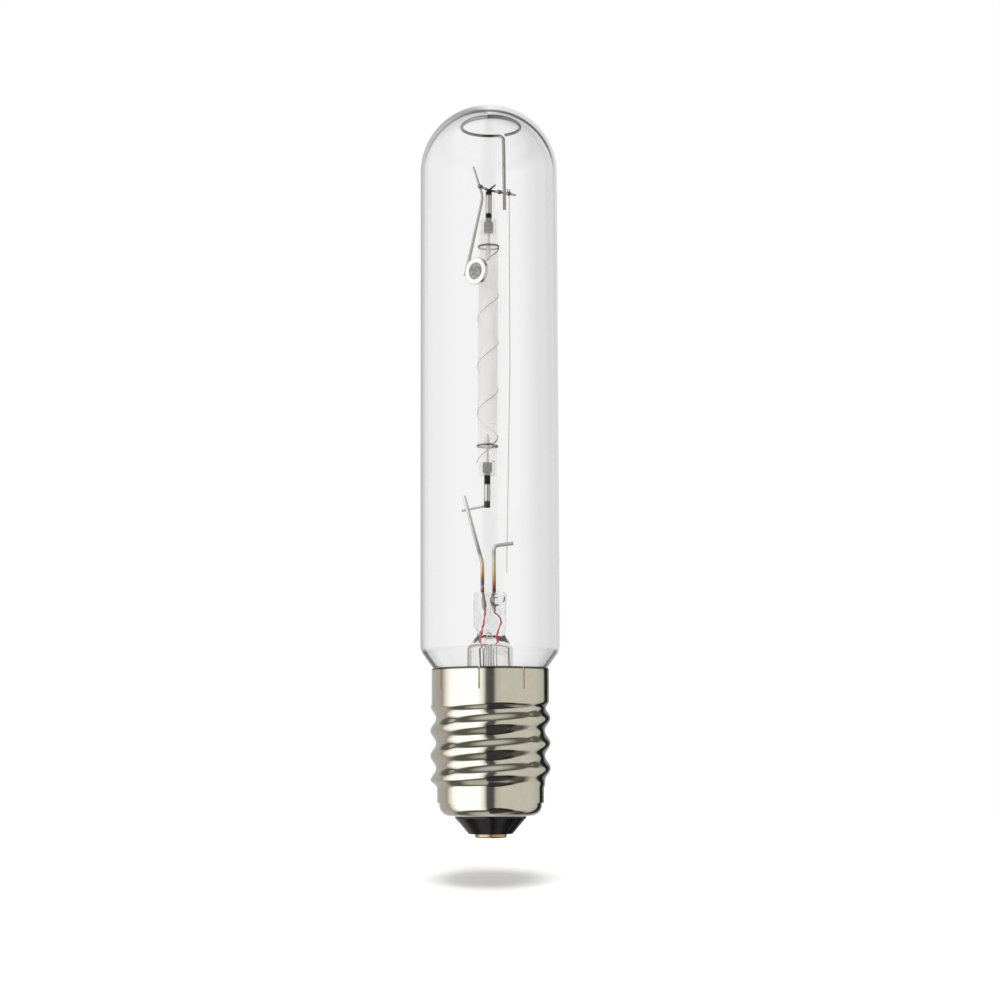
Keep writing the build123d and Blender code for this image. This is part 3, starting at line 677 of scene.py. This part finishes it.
STEEL = (0.66, 0.66, 0.64)
DARK = (0.02, 0.02, 0.025)
MATERIALS = {
    "nickel_plate": plated("nickel_plate", (0.77, 0.75, 0.68), (0.82, 0.80, 0.74), (0.06, 0.12)),
    "black_glass": stone(
        "black_glass", (0.003, 0.003, 0.004), (0.008, 0.008, 0.010), (0.08, 0.2), 300.0, 0.05),
    "contact_brass": metal("contact_brass", (0.58, 0.40, 0.24), (0.72, 0.55, 0.36), (0.2, 0.35), 700.0),
    "solder": metal("solder", (0.5, 0.5, 0.48), (0.66, 0.66, 0.63), (0.3, 0.5), 900.0, relief=0.3),
    "cement": stone("cement", (0.44, 0.27, 0.17), (0.70, 0.45, 0.29), (0.8, 0.95), 1200.0, 0.6),
    # Painted shade: the clear glass greys in a band part way to its outline and darkens at the outline
    # itself.
    "clear_glass": glass(
        "clear_glass", 1.47,
        (0.0, 0.96), (0.06, 0.96), (0.13, 0.945), (0.22, 0.925), (0.35, 0.94), (0.5, 0.975), (0.7, 0.99),
        (0.9, 0.94), (1.0, 0.6)),
    "stem_glass": pressed_glass("stem_glass"),
    "lead_metal": metal(
        "lead_metal", (0.52, 0.52, 0.50), (0.70, 0.70, 0.68), (0.18, 0.34), WIRE_GRAIN, WIRE_STRETCH),
    "seal_metal": metal("seal_metal", (0.60, 0.06, 0.12), (0.78, 0.14, 0.20), (0.35, 0.5), WIRE_GRAIN),
    "copper": metal("copper", (0.03, 0.015, 0.012), (0.09, 0.04, 0.03), (0.3, 0.5), WIRE_GRAIN),
    "alumina": translucent(
        "alumina", (0.83, 0.83, 0.84), (0.88, 0.88, 0.89), (0.4, 0.5), between(*ARC_ENDS_Z),
        (0.0, 0.07), (0.07, 0.09), (0.13, 0.16), (0.26, 0.4), (0.74, 0.4), (0.87, 0.16), (0.93, 0.09),
        (1.0, 0.07)),
    "frit": stone("frit", (0.7, 0.7, 0.68), (0.82, 0.82, 0.80), (0.3, 0.5), 900.0, 0.1, Alpha=0.12),
    "niobium": metal("niobium", (0.50, 0.49, 0.46), (0.68, 0.67, 0.64), (0.25, 0.4), 1200.0),
    "tungsten": metal("tungsten", (0.74, 0.74, 0.75), (0.86, 0.86, 0.87), (0.35, 0.5), 2000.0),
    "amalgam": metal("amalgam", (0.66, 0.66, 0.68), (0.74, 0.74, 0.76), (0.05, 0.15), 900.0),
    "getter_metal": metal("getter_metal", (0.80, 0.80, 0.79), (0.90, 0.90, 0.89), (0.15, 0.3), WIRE_GRAIN),
    "getter_compound": stone(
        "getter_compound", (0.08, 0.08, 0.08), (0.40, 0.40, 0.39), (0.6, 0.8), 1000.0, 0.8),
}
HEAT_COLOURS = {
    "arc_tube_lead": tinted(
        "left_lead", between(*LEAD_ENDS_Z),
        (0.0, (0.42, 0.40, 0.33)), (0.06, (0.20, 0.18, 0.15)), (0.07, DARK), (0.09, (0.28, 0.10, 0.05)),
        (0.115, (0.50, 0.40, 0.28)), (0.135, (0.10, 0.14, 0.34)), (0.16, (0.12, 0.05, 0.12)),
        (0.195, (0.35, 0.14, 0.05)), (0.25, (0.62, 0.36, 0.14)), (0.32, (0.72, 0.60, 0.38)),
        (0.39, (0.62, 0.55, 0.42)), (0.43, grey(0.28)), (0.53, grey(0.45)), (0.72, grey(0.66)),
        (0.94, grey(0.9)), rough=(0.3, 0.45)),
    "frame_lead": tinted(
        "right_lead", between(*LEAD_ENDS_Z),
        (0.0, (0.42, 0.40, 0.33)), (0.06, (0.20, 0.18, 0.15)), (0.075, (0.10, 0.04, 0.06)),
        (0.11, (0.30, 0.10, 0.06)), (0.18, (0.62, 0.34, 0.12)), (0.275, (0.72, 0.58, 0.36)),
        (0.37, (0.75, 0.70, 0.6)), (0.43, grey(0.5)), (0.49, grey(0.9)), rough=(0.35, 0.5)),
    "top_niobium_tube": tinted(
        "top_niobium", between(*TOP_NIOBIUM_ENDS_Z),
        (0.0, grey(0.03)), (0.33, grey(0.03)), (0.35, DARK), (0.48, DARK), (0.51, STEEL), (0.86, STEEL),
        (0.90, DARK)),
    "bottom_niobium_tube": tinted(
        "bottom_niobium", between(*BOTTOM_NIOBIUM_ENDS_Z),
        (0.0, grey(0.05)), (0.14, grey(0.06)), (0.18, STEEL), (0.49, STEEL), (0.52, DARK), (0.68, DARK),
        (0.71, grey(0.03))),
    "top_cross_wire": tinted(
        "welded_cross", away_from(arc_point(CROSS_SET), CROSS_HEAT_REACH),
        (0.0, DARK), (0.27, DARK), (0.40, (0.14, 0.15, 0.38)), (0.58, (0.36, 0.38, 0.62)), (0.8, STEEL)),
}
STARTER_METAL = tinted(
    "starter_metal", between(*STARTER_ENDS_Z),
    (0.0, grey(0.95)), (0.07, grey(0.9)), (0.085, grey(0.2)), (0.105, grey(0.2)), (0.14, grey(0.95)),
    (0.90, grey(0.95)), (0.93, grey(0.22)), rough=(0.5, 0.65))
# Painted shade: the dome ring's wire is black on its upper side and grey below.
RING_PAINTED_SHADE_METAL = tinted(
    "ring_painted_shade", between(RING_Z - RING_WIRE_RADIUS, RING_Z + RING_WIRE_RADIUS),
    (0.0, grey(0.34)), (0.12, grey(0.42)), (0.3, grey(0.4)), (0.44, grey(0.06)), (1.0, grey(0.02)),
    rough=(0.04, 0.09))
GETTER_WIRE_METAL = metal(
    "getter_wire", (0.40, 0.40, 0.39), (0.52, 0.52, 0.51), (0.06, 0.12), WIRE_GRAIN, relief=0.02)
PALE_METAL = stone("pale_metal", grey(0.52), grey(0.66), (0.4, 0.55), WIRE_GRAIN, 0.05, Metallic=0.5)
# Painted shade: near-black strokes where the curled glass shows dark lines.
CURL_SHADE_GLASS = stone("curl_shade_glass", (0.04, 0.045, 0.04), (0.14, 0.15, 0.14), (0.1, 0.2), 900.0, 0.05, Alpha=0.8)
WRAP_METAL = metal("wrap_metal", (0.06, 0.06, 0.07), (0.22, 0.22, 0.23), (0.3, 0.5), WIRE_GRAIN)


def dress(node, material):
    """Give a CAD node its material."""
    slots = frame["nodes"][node].data.materials
    slots.clear()
    slots.append(material)


for part in frame["record"]["subparts"]:
    dress(part["node"], MATERIALS[part["material_slot"]])
for node, material in HEAT_COLOURS.items():
    dress(node, material)
dress("dome_ring", RING_PAINTED_SHADE_METAL)
dress("getter_wire", GETTER_WIRE_METAL)
for node in ("return_wire", "bottom_cross_strap", "shell_lead"):
    dress(node, PALE_METAL)

bulb = new_piece("clear_bulb", bulb_mesh(), MATERIALS["clear_glass"], "outer_bulb")
stem = new_piece("stem_glass", stem_mesh(), MATERIALS["stem_glass"], "stem")
shell = new_piece("plated_shell", shell_mesh(), MATERIALS["nickel_plate"], "screw_shell")
new_piece("starting_wire", starter_mesh(), STARTER_METAL, "starter_wire")
new_piece("mount_wraps", wraps_mesh(), WRAP_METAL)
new_piece("painted_curl_shade", curl_shade_mesh(), CURL_SHADE_GLASS)
sheet = shell.modifiers.new("sheet", "SOLIDIFY")
sheet.thickness = SHELL_WALL * MM
sheet.offset = -1
for piece in (bulb, stem):
    piece.visible_shadow = False
    piece.visible_diffuse = False
    piece.visible_glossy = False


# Studio

def make_camera():
    """Camera at the photograph's place."""
    camera = bpy.data.objects.new("camera", bpy.data.cameras.new("camera"))
    camera.data.lens = CAMERA_LENS
    camera.data.sensor_width = CAMERA_SENSOR
    camera.data.clip_start = CAMERA_NEAR * MM
    camera.data.clip_end = CAMERA_FAR * MM
    turn = Matrix.Rotation(math.pi / 2 + CAMERA_PITCH, 4, "X") @ Matrix.Rotation(CAMERA_ROLL, 4, "Z")
    camera.matrix_world = Matrix.Translation(Vector(CAMERA_AT) * MM) @ turn
    bpy.context.scene.collection.objects.link(camera)
    bpy.context.scene.camera = camera


def make_floor():
    """White floor that keeps the lamp's shadow and fades into the surround."""
    build = bmesh.new()
    bmesh.ops.create_circle(build, cap_ends=True, segments=FLOOR_SIDES, radius=FLOOR_RADIUS * MM)
    mesh = bpy.data.meshes.new("floor")
    build.to_mesh(mesh)
    build.free()
    material, tree, shader = principled("floor", grey(0.96), Roughness=0.9, Specular_IOR_Level=0.0)
    beyond = tree.nodes.new("ShaderNodeBsdfTransparent")
    mix = tree.nodes.new("ShaderNodeMixShader")
    tree.links.new(away_from((0, 0, 0), FLOOR_END, FLOOR_PLAIN)(tree), mix.inputs["Fac"])
    tree.links.new(shader.outputs["BSDF"], mix.inputs[1])
    tree.links.new(beyond.outputs["BSDF"], mix.inputs[2])
    tree.links.new(mix.outputs["Shader"], tree.nodes["Material Output"].inputs["Surface"])
    mesh.materials.append(material)
    floor = bpy.data.objects.new("floor", mesh)
    floor.location.z = FLOOR_Z * MM
    floor.rotation_euler.x = FLOOR_SLOPE
    bpy.context.scene.collection.objects.link(floor)
    floor.visible_glossy = False


def combine(tree, operation, *inputs):
    """Result of a maths node on numbers and other nodes' values."""
    made = tree.nodes.new("ShaderNodeMath")
    made.operation = operation
    for socket, value in zip(made.inputs, inputs):
        if isinstance(value, (int, float)):
            socket.default_value = value
        else:
            tree.links.new(value, socket)
    return made.outputs["Value"]


def span(tree, value, low, high):
    """Share of the way of a value between two limits."""
    made = add(tree, "ShaderNodeMapRange", From_Min=low, From_Max=high)
    tree.links.new(value, made.inputs["Value"])
    return made.outputs["Result"]


def panels(tree, direction, *stops):
    """Colours round the horizon, from pairs of degrees and colour. Zero is the lamp's front."""
    x, y, _ = direction
    turn = combine(tree, "ARCTAN2", x, combine(tree, "MULTIPLY", y, -1.0))
    share = span(tree, turn, -math.pi, math.pi)
    return ramp(tree, share, *((degrees / 360 + 0.5, colour) for degrees, colour in stops))


def studio_light(tree, direction):
    """Panels that light the lamp and are mirrored in its metal, with darker bands above and below."""
    black, olive, pale, glow = grey(0.015), (0.12, 0.113, 0.09), (0.60, 0.59, 0.55), (0.5, 0.48, 0.41)
    rise = direction[2]
    horizon = panels(
        tree, direction,
        (-180, grey(0.95)), (-168, grey(0.55)), (-143, grey(0.45)), (-125, (0.48, 0.44, 0.39)),
        (-107, (0.40, 0.37, 0.31)), (-99, (0.80, 0.78, 0.74)), (-88, (1.2, 1.18, 1.14)), (-75, grey(1.35)),
        (-28, (1.45, 1.43, 1.4)), (-14, (0.95, 0.95, 0.88)), (-7, grey(0.1)), (6, grey(0.08)),
        (12, (0.55, 0.53, 0.48)), (24, (0.66, 0.63, 0.55)), (100, (0.64, 0.62, 0.55)),
        (128, (0.5, 0.5, 0.45)), (134, black), (147, black), (156, grey(0.25)), (168, grey(0.4)),
        (180, grey(0.95)))
    low_shade = panels(
        tree, direction,
        (-180, pale), (-145, olive), (-12, olive), (-4, black), (60, black), (85, olive), (125, black),
        (180, pale))
    low_glow = panels(
        tree, direction,
        (-180, pale), (-100, glow), (-12, glow), (-4, grey(0.04)), (60, grey(0.05)), (85, (0.4, 0.39, 0.33)),
        (125, (0.3, 0.3, 0.28)), (180, pale))
    dip = panels(
        tree, direction, (-12, grey(0)), (-4, grey(0.15)), (8, grey(0.32)), (25, grey(0.30)), (70, grey(0)))
    lift = panels(
        tree, direction,
        (-160, grey(0)), (-145, grey(0.25)), (-112, grey(0.25)), (-98, grey(0)), (98, grey(0)),
        (112, grey(0.2)), (150, grey(0.2)), (165, grey(0)))
    fall = combine(tree, "MULTIPLY_ADD", rise, -1.0, dip)
    climb = combine(tree, "ADD", rise, lift)
    light = blend(tree, span(tree, climb, 0.62, 0.74), horizon, olive)
    light = blend(tree, span(tree, climb, 0.84, 0.93), light, pale)
    light = blend(tree, span(tree, fall, 0.62, 0.74), light, low_shade)
    return blend(tree, span(tree, fall, 0.86, 0.94), light, low_glow)


def glass_gleam(tree, direction):
    """Pale surround that is mirrored in the glass, with a dark arc above and a dark band below."""
    x, y, rise = direction
    around = panels(
        tree, direction,
        (-180, grey(0.9)), (-165, grey(0.6)), (-150, grey(0.32)), (-131, grey(0.4)), (-119, grey(0.7)),
        (-95, grey(0.8)), (-60, grey(1.2)), (-14, grey(0.9)), (-7, grey(0.1)), (8, grey(0.1)),
        (14, grey(0.5)), (100, grey(0.62)), (118, grey(0.68)), (131, grey(0.66)), (180, grey(0.9)))
    ahead = combine(tree, "MULTIPLY_ADD", rise, 0.3, y)
    rim = combine(tree, "MULTIPLY", span(tree, ahead, 0.39, 0.43), span(tree, ahead, 0.56, 0.51))
    rim = combine(tree, "MULTIPLY", rim, span(tree, x, -1.6, 0.3))
    rim = combine(tree, "MULTIPLY", rim, span(tree, rise, 0.1, 0.5))
    gleam = blend(tree, rim, around, grey(0.05))
    gleam = blend(tree, span(tree, rise, -0.2, -0.4), gleam, grey(0.12))
    return blend(tree, span(tree, rise, -0.5, -0.62), gleam, grey(0.65))


def glass_view(tree, direction):
    """White backdrop that is seen through the glass, greyer high up and a little below."""
    rise = direction[2]
    backdrop = panels(
        tree, direction,
        (-180, grey(1)), (165, grey(0.94)), (170, grey(0.85)), (176.8, grey(0.86)), (177.6, grey(1)))
    view = blend(tree, span(tree, rise, 0.4, 0.7), backdrop, grey(0.3))
    return blend(tree, span(tree, rise, -0.25, -0.5), view, grey(0.88))


def make_world():
    """White surround for the camera and through the glass, and a studio for light and reflections."""
    world = bpy.data.worlds.new("studio")
    bpy.context.scene.world = world
    world.use_nodes = True
    tree = world.node_tree
    place = tree.nodes.new("ShaderNodeTexCoord")
    split = tree.nodes.new("ShaderNodeSeparateXYZ")
    tree.links.new(place.outputs["Generated"], split.inputs["Vector"])
    direction = tuple(split.outputs)
    ray = tree.nodes.new("ShaderNodeLightPath")
    seen = studio_light(tree, direction)
    seen = blend(tree, ray.outputs["Is Singular Ray"], seen, glass_gleam(tree, direction))
    seen = blend(tree, ray.outputs["Is Transmission Ray"], seen, glass_view(tree, direction))
    seen = blend(tree, ray.outputs["Is Camera Ray"], seen, grey(1.0))
    tree.links.new(seen, tree.nodes["Background"].inputs["Color"])


def make_lamp(name, at, target, size, power):
    """Soft area lamp that lights and isn't mirrored."""
    light = bpy.data.lights.new(name, "AREA")
    light.size = size * MM
    light.energy = power
    lamp = bpy.data.objects.new(name, light)
    lamp.location = Vector(at) * MM
    lamp.rotation_euler = (Vector(target) - Vector(at)).to_track_quat("-Z", "Y").to_euler()
    lamp.visible_glossy = False
    lamp.visible_transmission = False
    lamp.visible_camera = False
    bpy.context.scene.collection.objects.link(lamp)


bpy.context.scene.view_settings.view_transform = "Standard"
make_camera()
make_floor()
make_world()
make_lamp("top_lamp", **TOP_LAMP)
make_lamp("front_lamp", **FRONT_LAMP)

bpy.context.view_layer.update()
